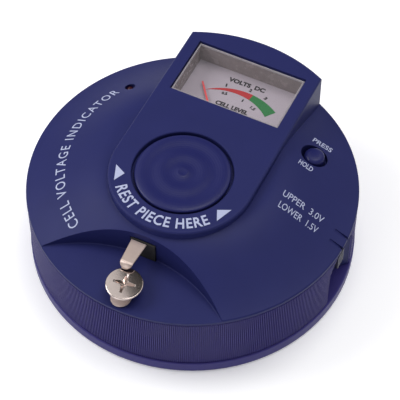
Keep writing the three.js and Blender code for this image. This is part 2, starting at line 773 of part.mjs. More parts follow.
add('meter_cover', meterCover(), 0xe8e8ee, 0.05);
add('meter_base', meterBase(), 0xc8c4c4, 0.5);
add('meter_dial', meterDial(), 0xc4bac0, 0.7);
add('meter_pointer', pointer(), 0xc03030, 0.5);
add('meter_coil', movingCoil(), 0xb06a3a, 0.4, 0.6);
add('meter_core', magnetCore(), 0x8a8a8c, 0.4, 0.9);
add('meter_yoke', yokeRing(), 0x7a7a7e, 0.45, 0.9);
add('meter_bridge', bridge(), 0xc9a85c, 0.3, 1);
[-1, 1].forEach((side, i) => {
  const terminal = rod(0.9, side * terminalX, terminalY, meterBottom - 3, meterBottom + 3, 12);
  add(`meter_terminal_${i + 1}`, terminal, 0xc9a85c, 0.3, 1);
});

// ---- circuit board and what stands on it ----
const coilY = padY;
const coreTall = tongueTop - padPocket - padFloor - seatGap;

function circuitBoard() {
  const half = bodyX1 - 0.2;
  const front = -24;
  const notch = meterNear - 2.4;
  const rear = rearPostY - postRadius - 2.6;
  const right = [[41, front], [half, front + 12], [half, 12], [40, 26], [34, rear], [meterWing, rear],
    [meterWing, notch]];
  const left = right.map(([x, y]) => [-x, y]).reverse();
  const hole = screwRadius + slideGap;
  const holes = boardPosts.map(([x, y]) => rod(hole, x, y, boardBottom - 1, boardTop + 1, 16));
  return prism(outline([...right, ...left]), boardBottom, boardTop).subtract(join(...holes));
}

function chip(x, y, pins) {
  const length = (pins / 2) * 2.54 + 1.6;
  const legs = [];
  for (let i = 0; i < pins / 2; i += 1) {
    const legY = y - length / 2 + 0.8 + 1.27 + i * 2.54;
    for (const side of [-1, 1]) {
      const legOut = x + side * 3.6;
      legs.push(block(legOut - 0.6, legOut + 0.6, legY - 0.25, legY + 0.25, boardTop, boardTop + 1.6));
    }
  }
  const front = y - length / 2;
  return join(block(x - 3.2, x + 3.2, front, front + length, boardTop + 0.5, boardTop + 3.6), ...legs);
}

function resistor(x, y) {
  const tube = new THREE.CylinderGeometry(1.1, 1.1, 6.3, 14);
  const wireGeometry = new THREE.CylinderGeometry(0.3, 0.3, 9, 8);
  const z = boardTop + 1.4;
  return join(
    solid(tube.translate(x, y, z)),
    solid(wireGeometry.translate(x, y, z)),
    rod(0.3, x, y - 4.3, boardTop, z, 8),
    rod(0.3, x, y + 4.3, boardTop, z, 8),
  );
}

add('circuit_board', circuitBoard(), 0x2f6b3f, 0.5);
boardPosts.forEach(([x, y], i) => {
  add(`board_screw_${i + 1}`, upScrew(x, y, boardBottom, boardTop + 6, 1.6, 2.3), 0xb8b8bc, 0.3, 1);
});
add('pickup_coil', rod(8, 0, coilY, boardTop + 0.4, coreTall - 2, 40)
  .subtract(rod(4, 0, coilY, boardTop, coreTall, 24)), 0xa8612f, 0.4, 0.6);
add('pickup_core', rod(3.8, 0, coilY, boardTop, coreTall, 24), 0x3a3a3c, 0.6);
add('chip_1', chip(-29, -2, 14), 0x1c1c1e, 0.6);
add('chip_2', chip(29, -4, 8), 0x1c1c1e, 0.6);
[-39, -35.5, 17, 20.5].forEach((x, i) => {
  add(`resistor_${i + 1}`, resistor(x, -12), 0xc9a77a, 0.6);
});
[[-17, -17], [12, -19.5], [-15.5, 3]].forEach(([x, y], i) => {
  add(`capacitor_${i + 1}`, rod(2.6, x, y, boardTop, boardTop + 7.5, 24), 0x22346a, 0.4);
});
add('trimmer', block(13, 19, -1, 5, boardTop, boardTop + 3.4)
  .subtract(cross(16, 2, 2, 0.4, boardTop + 2.4, boardTop + 5)), 0x2a5ab0, 0.5);

// ---- battery and leads ----
const batteryBottom = baseFloor + batteryLift;
const batteryX0 = bayEnd + tabPlate + tabSwing;
const studLength = 2.5;
const batteryX1 = batteryX0 + batteryLength - studLength;
const studPitch = 6.35;
const studRadius = 2.8;
const batteryMid = batteryBottom + batteryHeight / 2;
const snapX0 = batteryX1 + seatGap;
const snapX1 = snapX0 + studLength + 1.6;
const snapHalf = 12.5;
const snapRise = 6.2;

function sideRod(radius, y, z, x0, x1, sides = 20) {
  const geometry = new THREE.CylinderGeometry(radius, radius, x1 - x0, sides);
  return solid(geometry.rotateZ(Math.PI / 2).translate((x0 + x1) / 2, y, z));
}

function battery() {
  const studs = [-studPitch, studPitch].map((offset) => sideRod(studRadius, batteryY + offset, batteryMid,
    batteryX1 - 1, batteryX1 + studLength));
  const half = batteryWidth / 2;
  const can = block(batteryX0, batteryX1, batteryY - half, batteryY + half, batteryBottom,
    batteryBottom + batteryHeight);
  return join(can, ...studs);
}

function snapConnector() {
  const sockets = [-studPitch, studPitch].map((offset) => sideRod(studRadius + slideGap, batteryY + offset,
    batteryMid, snapX0 - 1, snapX0 + studLength + 0.2));
  return block(snapX0, snapX1, batteryY - snapHalf, batteryY + snapHalf, batteryMid - snapRise,
    batteryMid + snapRise).subtract(join(...sockets));
}

const leadRadius = 0.65;
const snapExit = (snapX0 + snapX1) / 2;

function snapLead(offset) {
  const start = batteryMid + snapRise + seatGap;
  return wire([
    [snapExit, batteryY + offset, start],
    [snapExit + 0.4, batteryY + offset, start + 1.6],
    [snapExit + 4, batteryY + 1.5 + offset, start + 2.6],
    [snapExit + 8, batteryY + 4 + offset, start + 2.6],
    [snapExit + 10, batteryY + 5 + offset, boardBottom - 1.5],
    [snapExit + 10.1, batteryY + 5 + offset, boardBottom - seatGap],
  ], leadRadius);
}

function meterLead(side) {
  return wire([
    [side * terminalX, terminalY, meterBottom - 3 - seatGap],
    [side * (terminalX + 1), terminalY - 1, meterBottom - 6],
    [side * 16, 30, meterBottom - 7],
    [side * meterWing, 20, meterBottom - 5],
    [side * (meterWing + 3), 14, meterBottom - 1.4],
    [side * (meterWing + 3.5), 13.2, boardBottom - 1.2],
    [side * (meterWing + 3.5), 13.1, boardBottom - seatGap],
  ], leadRadius);
}

add('battery', battery(), 0x4a4a4e, 0.4, 0.5);
add('snap_connector', snapConnector(), 0x18181a, 0.7);
add('red_lead', snapLead(2), 0xb02020, 0.6);
add('black_lead', snapLead(-2), 0x151515, 0.6);
[-1, 1].forEach((side, i) => {
  add(`meter_lead_${i + 1}`, meterLead(side), side > 0 ? 0xb02020 : 0x151515, 0.6);
});
add('contact_lead', wire([
  [2.4, stripBack + stripThickness / 2, boardBottom + 0.7],
  [2.6, stripBack + 0.6, boardBottom - 0.6],
  [5, stripBack + 6, boardBottom - 1.1],
  [8, stripBack + 14, boardBottom - 1.1],
  [9, stripBack + 19.5, boardBottom - 1.2],
  [9.2, stripBack + 20.8, boardBottom - 0.9],
  [9.2, stripBack + 21, boardBottom - seatGap],
], leadRadius), 0x2a4aa0, 0.6);

export default object;
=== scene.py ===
import json
import math

import bmesh
import bpy
from mathutils import Matrix, Vector


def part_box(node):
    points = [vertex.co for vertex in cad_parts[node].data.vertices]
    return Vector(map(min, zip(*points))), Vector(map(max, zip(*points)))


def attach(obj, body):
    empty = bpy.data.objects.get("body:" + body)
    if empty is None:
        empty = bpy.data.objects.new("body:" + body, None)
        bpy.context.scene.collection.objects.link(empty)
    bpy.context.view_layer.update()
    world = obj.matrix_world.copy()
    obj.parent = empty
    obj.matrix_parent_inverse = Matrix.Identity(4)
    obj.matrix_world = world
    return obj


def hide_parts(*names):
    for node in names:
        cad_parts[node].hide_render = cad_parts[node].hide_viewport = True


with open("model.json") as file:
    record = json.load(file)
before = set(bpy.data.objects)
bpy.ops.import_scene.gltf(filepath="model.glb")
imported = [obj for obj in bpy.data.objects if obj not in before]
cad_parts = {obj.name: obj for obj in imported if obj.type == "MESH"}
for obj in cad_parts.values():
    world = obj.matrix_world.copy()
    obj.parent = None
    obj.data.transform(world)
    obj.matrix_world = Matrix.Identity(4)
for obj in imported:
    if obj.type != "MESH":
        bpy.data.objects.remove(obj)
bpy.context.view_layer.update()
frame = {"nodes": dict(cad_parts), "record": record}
nodes = frame["nodes"]
scene = bpy.context.scene
millimetre = 0.001
print("frame loaded:", len(nodes), "nodes")


# every size below is in millimetres; meshes are turned into metres as they are made
def boxOf(node):
    low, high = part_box(node)
    return low / millimetre, high / millimetre


def sliceOf(node, low, high):
    # the box of a node's points between two heights
    points = [v.co / millimetre for v in nodes[node].data.vertices]
    near = [p for p in points if low <= p.z <= high]
    return Vector(map(min, zip(*near))), Vector(map(max, zip(*near)))


flatBand = 0.1     # a flat top is read from the points this near to it
above = 60.0       # over the whole case, where the cutting tools end
overrun = 5.0      # how far a cutting tool runs past what it cuts
caseTop = boxOf("top_case")[1].z
seam = boxOf("top_case")[0].z
tongueHigh = sliceOf("top_case", caseTop - flatBand, caseTop + flatBand)[1]
padLow, padHigh = boxOf("watch_pad")
padY = (padLow.y + padHigh.y) / 2
padRadius = (padHigh.x - padLow.x) / 2
coverLow, coverHigh = boxOf("meter_cover")
windowLow, windowHigh = sliceOf("meter_cover", coverHigh.z - flatBand, coverHigh.z + flatBand)
dialHigh = boxOf("meter_dial")[1]
buttonLow, buttonHigh = boxOf("test_button")
buttonX = (buttonLow.x + buttonHigh.x) / 2
buttonY = (buttonLow.y + buttonHigh.y) / 2
lampLow, lampHigh = boxOf("lamp")
lampX = (lampLow.x + lampHigh.x) / 2
lampY = (lampLow.y + lampHigh.y) / 2
screwLow, screwHigh = boxOf("contact_screw")
screwY = (screwLow.y + screwHigh.y) / 2
headRadius = (screwHigh.x - screwLow.x) / 2
armLow, armHigh = boxOf("contact_arm")
legLow, legHigh = boxOf("contact_arm_foot")
stripLow, stripHigh = boxOf("contact_strip")
knobLow = boxOf("switch_knob")[0]


def pieceFrom(name, build, smoothAngle=32):
    # a new object from a bmesh in millimetres, shaded smooth up to an angle
    bmesh.ops.recalc_face_normals(build, faces=build.faces)
    bmesh.ops.scale(build, vec=(millimetre,) * 3, verts=build.verts)
    mesh = bpy.data.meshes.new(name)
    build.to_mesh(mesh)
    build.free()
    piece = bpy.data.objects.new(name, mesh)
    scene.collection.objects.link(piece)
    smoothOver(piece, smoothAngle)
    return piece


def smoothOver(piece, angle):
    mesh = piece.data
    mesh.polygons.foreach_set("use_smooth", [True] * len(mesh.polygons))
    mesh.set_sharp_from_angle(angle=math.radians(angle))


def loft(name, loops, ring=False, smoothAngle=32):
    # skins loops of equal length; a ring joins the last loop back to the first
    build = bmesh.new()
    made = [[build.verts.new(p) for p in loop] for loop in loops]
    pairs = list(zip(made, made[1:]))
    if ring:
        pairs.append((made[-1], made[0]))
    else:
        build.faces.new(made[0])
        build.faces.new(list(reversed(made[-1])))
    for below, above in pairs:
        for i in range(len(below)):
            j = (i + 1) % len(below)
            build.faces.new((below[i], below[j], above[j], above[i]))
    return pieceFrom(name, build, smoothAngle)


def circle(radius, z, steps, x=0, y=0):
    turns = [2 * math.pi * i / steps for i in range(steps)]
    return [(x + radius * math.cos(t), y + radius * math.sin(t), z) for t in turns]


def turned(name, profile, steps, x=0, y=0, ring=False, smoothAngle=32):
    # profile: radius and height pairs, from one end to the other
    loops = [circle(max(r, 0.01), z, steps, x, y) for r, z in profile]
    return loft(name, loops, ring, smoothAngle)


def rounded(radius, z, edge, steps=5, down=False):
    # radius and height pairs that round a rod's end; z is the end's height
    pairs = []
    for i in range(steps + 1):
        turn = math.pi / 2 * i / steps
        pairs.append((radius - edge + edge * math.cos(turn), z - edge + edge * math.sin(turn)))
    if down:
        pairs = [(r, 2 * z - h) for r, h in reversed(pairs)]
    return pairs


def prism(name, outline, z0, z1):
    return loft(name, [[(x, y, z) for x, y in outline] for z in (z0, z1)])


def block(name, low, high):
    corners = [(low[0], low[1]), (high[0], low[1]), (high[0], high[1]), (low[0], high[1])]
    return prism(name, corners, low[2], high[2])


def settle(piece):
    # applies the piece's modifiers
    graph = bpy.context.evaluated_depsgraph_get()
    mesh = bpy.data.meshes.new_from_object(piece.evaluated_get(graph))
    piece.modifiers.clear()
    piece.data = mesh
    mesh.name = piece.name


def carve(piece, tools, operation="DIFFERENCE"):
    for tool in tools:
        cut = piece.modifiers.new("cut", "BOOLEAN")
        cut.object = tool
        cut.operation = operation
        cut.solver = "EXACT"
        settle(piece)
    for tool in tools:
        bpy.data.objects.remove(tool)


def bevelled(piece, width, angle, smoothAngle=32):
    # rounds the crisp edges, then levels the shading of flat faces
    edge = piece.modifiers.new("edges", "BEVEL")
    edge.width = width * millimetre
    edge.segments = 2
    edge.limit_method = "ANGLE"
    edge.angle_limit = math.radians(angle)
    edge.miter_outer = "MITER_ARC"
    settle(piece)
    smoothOver(piece, smoothAngle)
    level = piece.modifiers.new("level", "WEIGHTED_NORMAL")
    level.keep_sharp = True
    level.weight = 60


# weld is in metres; faces that meet flatter than one angle merge, and edges sharper than the other are rounded
cleanUp = {"weld": 1e-6, "flatAngle": 0.6, "edgeAngle": 35}


def refined(node, body, slot, width):
    # a cleaned copy of a CAD node with small round edges, which stands for the node
    angle = cleanUp["edgeAngle"]
    build = bmesh.new()
    build.from_mesh(nodes[node].data)
    bmesh.ops.remove_doubles(build, verts=build.verts, dist=cleanUp["weld"])
    bmesh.ops.dissolve_limit(build, angle_limit=math.radians(cleanUp["flatAngle"]),
                             verts=build.verts, edges=build.edges)
    bmesh.ops.scale(build, vec=(1 / millimetre,) * 3, verts=build.verts)
    piece = pieceFrom(node + "_fine", build, angle)
    if width:
        bevelled(piece, width, angle, angle)
    return fitted(piece, body, slot, node)


def fitted(piece, body, slot, *stoodFor):
    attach(piece, body)
    if stoodFor:
        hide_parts(*stoodFor)
    return piece


class Level:
    # a node's output; each operator used on it adds a Math node
    def __init__(self, tree, socket):
        self.tree = tree
        self.socket = socket

    def worked(self, operation, first, second):
        node = self.tree.nodes.new("ShaderNodeMath")
        node.operation = operation
        for entry, value in zip(node.inputs, (first, second)):
            if isinstance(value, Level):
                self.tree.links.new(value.socket, entry)
            else:
                entry.default_value = value
        return Level(self.tree, node.outputs[0])

    def __add__(self, other):
        return self.worked("ADD", self, other)

    def __radd__(self, other):
        return self.worked("ADD", other, self)

    def __sub__(self, other):
        return self.worked("SUBTRACT", self, other)

    def __rsub__(self, other):
        return self.worked("SUBTRACT", other, self)

    def __mul__(self, other):
        return self.worked("MULTIPLY", self, other)

    def __rmul__(self, other):
        return self.worked("MULTIPLY", other, self)


class Finish:
    # a material under construction
    def __init__(self, name):
        self.material = bpy.data.materials.new(name)
        self.material.use_nodes = True
        self.tree = self.material.node_tree
        self.tree.nodes.clear()

    def node(self, kind, settings=None, sockets=None, out=0):
        made = self.tree.nodes.new("ShaderNode" + kind)
        for key, value in (settings or {}).items():
            if key == "stops":
                ramp = made.color_ramp
                while len(ramp.elements) < len(value):
                    ramp.elements.new(0.5)
                for element, (place, tint) in zip(ramp.elements, value):
                    element.position = place
                    element.color = (*tint, 1)
            else:
                setattr(made, key, value)
        for key, value in (sockets or {}).items():
            if isinstance(value, Level):
                self.tree.links.new(value.socket, made.inputs[key])
            else:
                made.inputs[key].default_value = value
        return Level(self.tree, made.outputs[out])

    def place(self):
        return self.node("TexCoord", out=3)

    def grain(self, size, detail=2, rough=0.5):
        # noise whose features are about that many millimetres across
        return self.node("TexNoise", None, {
            "Vector": self.place(), "Scale": 1 / (size * millimetre), "Detail": detail, "Roughness": rough})

    def blended(self, share, first, second):
        return self.node("Mix", {"data_type": "RGBA"}, {0: share, 6: (*first, 1), 7: (*second, 1)}, 2)

    def bump(self, height, depth, strength):
        return self.node("Bump", None, {
            "Height": height, "Distance": depth * millimetre, "Strength": strength})

    def done(self, surface):
        out = self.tree.nodes.new("ShaderNodeOutputMaterial")
        self.tree.links.new(surface.socket, out.inputs["Surface"])
        return self.material


def linear(*levels):
    # red, green and blue as they look on a screen, 0 to 255
    return tuple((c / 255 / 12.92) if c <= 10 else ((c / 255 + 0.055) / 1.055) ** 2.4 for c in levels)


# what a plastic has unless its own finish says otherwise, in millimetres
plasticLook = {"cloudSize": 9, "grainSize": 0.16, "grainDepth": 0.012, "wearSize": 2.3, "shading": 0.86,
               "gloss": 0.4}


def mouldedPlastic(name, given):
    # fine spark-eroded skin: a little cloudiness in the colour, uneven gloss and a shallow grain
    look = {**plasticLook, **given}
    paint = Finish(name)
    cloud = paint.grain(look["cloudSize"], 3)
    skin = paint.grain(look["grainSize"], 2, 0.6)
    wear = paint.grain(look["wearSize"], 4, 0.65)
    base = look["colour"]
    shade = look.get("shade", tuple(c * look["shading"] for c in base))
    surface = paint.node("BsdfPrincipled", None, {
        "Base Color": paint.blended(cloud, base, shade),
        "Roughness": look["rough"] - 0.08 + 0.1 * wear + 0.06 * skin,
        "Normal": paint.bump(skin, look["grainDepth"], 0.6),
        "Specular IOR Level": look["gloss"],
    })
    return paint.done(surface)


# what a metal has unless its own finish says otherwise, in millimetres
metalLook = {"brush": (1, 14, 1), "scratchSize": 1.4, "scratchDepth": 0.006, "stainSize": 3, "metal": 1.0}


def platedMetal(name, given):
    # soft polish with fine scratches along one way
    look = {**metalLook, **given}
    paint = Finish(name)
    stretched = paint.node("Mapping", None, {"Vector": paint.place(), "Scale": look["brush"]})
    scratch = paint.node("TexNoise", None, {
        "Vector": stretched, "Scale": 1 / (look["scratchSize"] * millimetre), "Detail": 4})
    stain = paint.grain(look["stainSize"], 3)
    surface = paint.node("BsdfPrincipled", None, {
        "Base Color": paint.blended(stain, look["colour"], look["shade"]),
        "Metallic": look["metal"],
        "Roughness": look["rough"] - 0.05 + 0.12 * scratch,
        "Normal": paint.bump(scratch, look["scratchDepth"], 0.5),
    })
    return paint.done(surface)


inkLook = {"coverSize": 0.5, "rough": 0.5, "gloss": 0.2}


def printedInk(name, given):
    # screen print: slightly uneven cover
    look = {**inkLook, **given}
    paint = Finish(name)
    cover = paint.grain(look["coverSize"], 3)
    surface = paint.node("BsdfPrincipled", None, {
        "Base Color": paint.blended(cover, look["colour"], look["shade"]),
        "Roughness": look["rough"] + 0.1 * cover,
        "Specular IOR Level": look["gloss"],
    })
    return paint.done(surface)


# body is how much of what lies behind is covered
paneLook = {"flowSize": 3, "streaks": 0.0, "gloss": 0.5}


def clearMoulding(name, given):
    # thin clear acrylic: mostly see-through, with a glossy skin and faint flow marks
    look = {**paneLook, **given}
    paint = Finish(name)
    flow = paint.grain(look["flowSize"], 3)
    skin = paint.node("BsdfPrincipled", None, {
        "Base Color": (*look["colour"], 1),
        "Roughness": look["rough"] + 0.04 * flow,
        "Alpha": look["body"] + look["streaks"] * flow,
        "Specular IOR Level": look["gloss"],
    })
    paint.material.surface_render_method = "BLENDED"
    return paint.done(skin)


finishes = {
    "navy": (mouldedPlastic, {"colour": linear(35, 39, 90), "rough": 0.44, "gloss": 0.12}),
    "padNavy": (mouldedPlastic, {"colour": linear(32, 35, 88), "rough": 0.3, "gloss": 0.2,
                                 "grainDepth": 0.004}),
    "knobNavy": (mouldedPlastic, {"colour": linear(24, 24, 56), "rough": 0.42}),
    # the case's own navy painted lighter and bluer for the ribbed wall and base ring, painted light for how
    # the side walls are lit
    "wallNavyPaintedLight": (mouldedPlastic, {"colour": linear(52, 46, 114), "rough": 0.42, "gloss": 0.2}),
    "ink": (printedInk, {"colour": linear(176, 182, 208), "shade": linear(160, 166, 196)}),
    "dialInk": (printedInk, {"colour": linear(12, 10, 14), "shade": linear(24, 20, 26)}),
    "dialRed": (printedInk, {"colour": linear(172, 24, 30), "shade": linear(158, 22, 28)}),
    "dialGreen": (printedInk, {"colour": linear(16, 112, 52), "shade": linear(14, 102, 46)}),
    "dialCard": (mouldedPlastic, {"colour": linear(164, 154, 163), "rough": 0.6, "grainSize": 0.4,
                                  "shade": linear(156, 146, 156)}),
    "needleRed": (mouldedPlastic, {"colour": linear(214, 70, 72), "rough": 0.35, "grainDepth": 0.003}),
    "nickel": (platedMetal, {"colour": linear(222, 208, 202), "shade": linear(206, 192, 186),
                             "rough": 0.13}),
    "armNickel": (platedMetal, {"colour": linear(206, 188, 180), "shade": linear(192, 173, 165),
                                "rough": 0.38}),
    "dullNickel": (platedMetal, {"colour": linear(212, 196, 190), "shade": linear(196, 178, 172),
                                 "rough": 0.45, "metal": 0.35}),
    # the arm's foot in its wall slot: a nickel darkened to grey, painted shade for the shadow it lies in
    "legNickelPaintedShade": (platedMetal, {"colour": linear(74, 73, 68), "shade": linear(60, 59, 55), "rough": 0.4,
                                "metal": 0.4}),
    "zinc": (platedMetal, {"colour": linear(190, 190, 196), "shade": linear(168, 168, 172), "rough": 0.32}),
    "brass": (platedMetal, {"colour": linear(206, 172, 96), "shade": linear(186, 150, 80), "rough": 0.3}),
    "copper": (platedMetal, {"colour": linear(190, 112, 66), "shade": linear(160, 88, 52), "rough": 0.35,
                             "brush": (1, 1, 30)}),
    "ironGrey": (mouldedPlastic, {"colour": linear(74, 74, 78), "rough": 0.6, "grainDepth": 0.03}),
    "pane": (clearMoulding, {"colour": linear(236, 234, 238), "rough": 0.06, "body": 0.02}),
    "paneEdge": (clearMoulding, {"colour": linear(190, 184, 190), "rough": 0.2, "body": 0.42,
                                 "streaks": 0.2}),
    "paneWall": (clearMoulding, {"colour": linear(152, 140, 140), "rough": 0.25, "body": 0.5,
                                 "streaks": 0.4}),
    "meterGrey": (mouldedPlastic, {"colour": linear(190, 188, 188), "rough": 0.5}),
    "board": (mouldedPlastic, {"colour": linear(44, 104, 62), "rough": 0.35, "grainSize": 0.5}),
    "black": (mouldedPlastic, {"colour": linear(30, 30, 33), "rough": 0.45}),
    "resistor": (mouldedPlastic, {"colour": linear(198, 168, 124), "rough": 0.4}),
    "sleeve": (mouldedPlastic, {"colour": linear(34, 54, 106), "rough": 0.3, "grainDepth": 0.003}),
    "jacket": (platedMetal, {"colour": linear(84, 84, 90), "shade": linear(70, 70, 76), "rough": 0.4}),
    "lens": (mouldedPlastic, {"colour": linear(50, 12, 20), "rough": 0.12, "grainDepth": 0.001}),
    "redWire": (mouldedPlastic, {"colour": linear(176, 36, 36), "rough": 0.45}),
    "blackWire": (mouldedPlastic, {"colour": linear(24, 24, 26), "rough": 0.45}),
}
materials = {name: make(name, look) for name, (make, look) in finishes.items()}


def painted(piece, finish):
    piece.data.materials.clear()
    piece.data.materials.append(materials[finish])
    return piece


print("materials ready:", len(materials))


def outward(azimuth, elevation):
    # the direction from the object towards a place in the room
    a, e = math.radians(azimuth), math.radians(elevation)
    return Vector((math.sin(a) * math.cos(e), -math.cos(a) * math.cos(e), math.sin(e)))


# seen from above and a little to the right, as by someone standing at the bench
cameraLook = {"azimuth": 26.2, "elevation": 53.67, "distance": 582.3, "right": 2.43, "up": 11.23,
              "lens": 152.36}


def addCamera():
    a = math.radians(cameraLook["azimuth"])
    back = outward(cameraLook["azimuth"], cameraLook["elevation"])
    right = Vector((math.cos(a), math.sin(a), 0))
    up = back.cross(right)
    camera = bpy.data.objects.new("camera", bpy.data.cameras.new("camera"))
    camera.data.lens = cameraLook["lens"]
    camera.data.clip_start = 0.01
    place = back * cameraLook["distance"] + right * cameraLook["right"] + up * cameraLook["up"]
    facing = Matrix((right, up, back)).transposed().to_4x4()
    camera.matrix_world = Matrix.Translation(place * millimetre) @ facing
    scene.collection.objects.link(camera)
    scene.camera = camera


addCamera()

caseShape = {
    "radius": 55.0, "rimHeight": 29.0, "edgeRound": 0.6, "rimBand": 1.0,
    # how far the dome's two middle control points lie in from the rim, up from it and out from the crown
    "domeIn": 12.4, "domeUp": 4.3, "domeOut": 6.5,
    "crownRadius": 27.5, "crownHeight": 40.1, "wall": 2.0, "crownWall": 1.6,
    "ribbedRadius": 54.5, "bandBacking": 0.1, "bandStep": 0.45, "bandChamfer": 0.15,
    "tongueEdge": 0.8, "tongueRoot": 0.5,
    "recessRadius": 50.0, "recessY": -82.6, "recessFloor": 28.5, "recessFillet": 0.45,
    "padGap": 1.0, "padPocket": 2.2, "pocketEdge": 0.3, "padWall": 3, "padFloor": 4,
    "screwHole": 2.2, "slotDepth": 4, "slotRoom": 0.4, "leaf": 0.5, "fit": 0.3,
    "sharpEdge": 0.16, "steps": 288,
}


domeLean = 0.4    # how much of the wall's thickness the inner dome line moves inwards


def bezier(points, steps):
    a, b, c, d = (Vector(p) for p in points)
    made = []
    for i in range(steps + 1):
        t = i / steps
        s = 1 - t
        made.append(a * s ** 3 + b * 3 * s * s * t + c * 3 * s * t * t + d * t ** 3)
    return [(p.x, p.y) for p in made]


def domeLine(inset=0.0, steps=26):
    shape = caseShape
    line = bezier([
        (shape["radius"] - shape["edgeRound"], shape["rimHeight"]),
        (shape["radius"] - shape["domeIn"], shape["rimHeight"] + shape["domeUp"]),
        (shape["crownRadius"] + shape["domeOut"], shape["crownHeight"]),
        (shape["crownRadius"], shape["crownHeight"]),
    ], steps)
    return [(r - inset * domeLean, z - inset) for r, z in line]


def domeHeight(x, y):
    r = math.hypot(x, y)
    line = domeLine()
    for (r0, z0), (r1, z1) in zip(line, line[1:]):
        if r1 <= r <= r0:
            return z0 + (z1 - z0) * (r0 - r) / (r0 - r1)
    return line[0][1] if r > line[0][0] else caseShape["crownHeight"]


def tongueOutline(inset, steps=40):
    half = tongueHigh.x - inset
    rear = tongueHigh.y - inset
    corner = math.asin(half / rear)
    front = [math.pi * (1 + i / steps) for i in range(steps + 1)]
    back = [math.pi / 2 - corner + 2 * corner * i / steps for i in range(steps + 1)]
    return ([(half * math.cos(t), padY + half * math.sin(t)) for t in front]
            + [(rear * math.cos(t), rear * math.sin(t)) for t in back])


# the finger scoop in the side wall, the two marks above it and the slot of the switch lever
scoopShape = {"y": -0.35, "halfWidth": 9.2, "depth": 5.0, "shoulder": 18.0, "top": 28.2,
              "steps": 160, "archSteps": 40,
              "markPitch": 4.3, "markLength": 5.0, "markWidth": 1.0, "markDepth": 0.85,
              "leverHalf": 4.0, "leverRise": 3.0, "leverRoom": 1.4, "leverReach": 4.0}


def scoopTool(name, grow, bottom):
    # an upright round hollow under an arch
    shape = scoopShape
    radius = caseShape["radius"]
    half = shape["halfWidth"]
    chord = math.sqrt(radius ** 2 - half ** 2)
    sagitta = shape["depth"] - (radius - chord)
    hollowRadius = (half ** 2 + sagitta ** 2) / (2 * sagitta)
    centre = chord - sagitta + hollowRadius
    wall = [(hollowRadius + grow, z) for z in (bottom, shape["top"] + grow + 1)]
    hollow = turned(name, wall, shape["steps"], centre, shape["y"])
    wide = half + grow
    arch = [(shape["y"] - wide, bottom), (shape["y"] + wide, bottom)]
    for i in range(shape["archSteps"] + 1):
        turn = math.pi * i / shape["archSteps"]
        arch.append((shape["y"] + wide * math.cos(turn),
                     shape["shoulder"] + (shape["top"] + grow - shape["shoulder"]) * math.sin(turn)))
    ends = (radius - shape["depth"] - grow - 1, radius + overrun)
    reach = loft("reach", [[(x, y, z) for y, z in arch] for x in ends])
    carve(hollow, [reach], "INTERSECT")
    return hollow


# the button's round well, and the plain holes of the button's stem and the lamp
well = {"radius": 4.5, "floor": 31.0, "floorRound": 0.8, "wall": 1.5, "floorWall": 1,
        "hole": 3.7, "lamp": 1.8, "holeFoot": 20}


def caseOutside():
    # the domed turning with the raised tongue on it
    shape = caseShape
    lowEdge = shape["rimHeight"] - shape["edgeRound"] - shape["rimBand"]
    behindBand = shape["ribbedRadius"] - shape["bandBacking"]
    chamfer = shape["bandChamfer"]
    rim = rounded(shape["radius"], shape["rimHeight"], shape["edgeRound"], 5)
    profile = ([(0, seam), (behindBand, seam), (behindBand, lowEdge - shape["bandStep"]),
                (shape["radius"] - chamfer, lowEdge), (shape["radius"], lowEdge + chamfer)]
               + rim + domeLine()[1:] + [(0, shape["crownHeight"])])
    case = turned("topCase", profile, shape["steps"])
    edge = shape["tongueEdge"]
    levels = [(0, lowEdge + shape["tongueRoot"])]
    for i in range(7):
        turn = math.pi / 2 * i / 6
        levels.append((edge * (1 - math.cos(turn)), caseTop - edge + edge * math.sin(turn)))
    tongue = loft("tongue", [[(x, y, z) for x, y in tongueOutline(inset)] for inset, z in levels])
    carve(case, [tongue], "UNION")
    return case


def caseInside():
    # the hollow of the case, less the walls that the recess, scoop, pad and button keep round them
    shape = caseShape
    wall = shape["wall"]
    inner = shape["radius"] - wall - 1
    line = [(0, seam - overrun), (inner, seam - overrun), (inner, shape["rimHeight"] - wall - 1)]
    hollow = turned("hollow", line + domeLine(wall)[2:] + [(0, shape["crownHeight"] - wall)], 96)
    levels = (seam + overrun, caseTop - shape["crownWall"])
    under = loft("under", [[(x, y, z) for x, y in tongueOutline(wall)] for z in levels])
    carve(hollow, [under], "UNION")
    recess = shape["recessRadius"] + wall
    pad = padRadius + shape["padWall"]
    button = well["radius"] + well["wall"]
    carve(hollow, [
        turned("keep1", [(recess, shape["recessFloor"] - wall), (recess, above)], 120, 0, shape["recessY"]),
        scoopTool("keep2", wall, seam - overrun - 1),
        turned("keep3", [(pad, caseTop - shape["padFloor"]), (pad, above)], 60, 0, padY),
        turned("keep4", [(button, well["floor"] - well["floorWall"]), (button, above)], 40,
               buttonX, buttonY),
    ])
    return hollow


